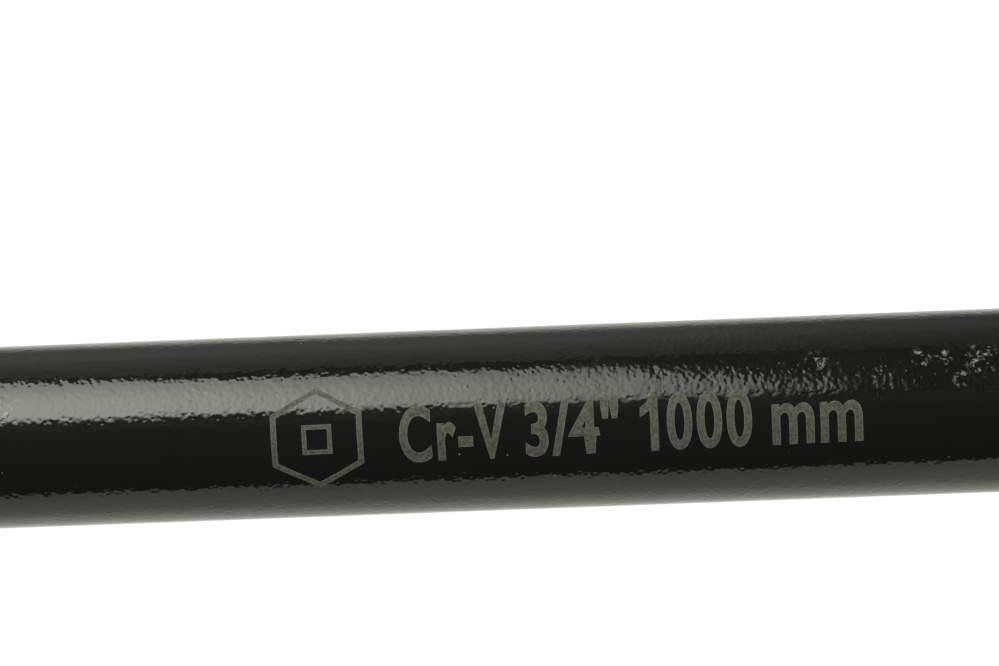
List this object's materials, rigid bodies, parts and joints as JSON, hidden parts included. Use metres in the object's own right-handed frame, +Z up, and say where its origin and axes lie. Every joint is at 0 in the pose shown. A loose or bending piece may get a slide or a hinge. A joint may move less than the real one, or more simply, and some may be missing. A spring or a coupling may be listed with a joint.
{
  "type": "flex-head breaker bar",
  "caption": "Long round steel handle with a knurled grip and a forked end, in which a square drive head with a detent ball swings about a screwed pivot.",
  "frame": {"origin": "centre of the footprint, on the surface that the flat side of the fork lies on", "axes": "+X along the bar towards the square drive, +Z up along the pivot that the head swings about"},
  "size_m": [1, 0.038, 0.0428],
  "materials": {
    "black_paint": "glossy black baked enamel with orange peel, on chrome-vanadium steel",
    "satin_chrome": "satin chrome plate on chrome-vanadium steel",
    "black_steel": "oiled black oxide",
    "zinc_steel": "clear zinc plate",
    "ground_steel": "hardened and ground",
    "spring_steel": "oil-tempered wire"
  },
  "bodies": {
    "handle": {"handle_bar": "black_paint", "fork_yoke": "black_paint", "pivot_screw": "black_steel", "pivot_lock_washer": "zinc_steel", "pivot_nut": "black_steel", "thrust_washer_lower": "zinc_steel", "thrust_washer_upper": "zinc_steel", "friction_spring": "spring_steel"},
    "head": {"drive_head": "satin_chrome", "detent_spring": "spring_steel"},
    "detent_ball": {"detent_ball": "ground_steel"},
    "friction_plunger": {"friction_plunger": "ground_steel"}
  },
  "joints": [
    {"name": "head_swing", "type": "hinge", "parent": "handle", "child": "head", "pos_m": [0.449, 0, 0.0214], "axis": [0, 0, 1], "range_deg": [-95, 95]},
    {"name": "detent_press", "type": "slide", "parent": "head", "child": "detent_ball", "axis": [0, 0, 1], "range_m": [-0.0014, 0], "stiffness_N_per_m": 2000, "springref_m": 0.002, "deforming": ["detent_spring"]},
    {"name": "plunger_press", "type": "slide", "parent": "handle", "child": "friction_plunger", "axis": [1, 0, 0], "range_m": [-0.0008, 0], "stiffness_N_per_m": 8000, "springref_m": 0.002, "deforming": ["friction_spring"]}
  ]
}
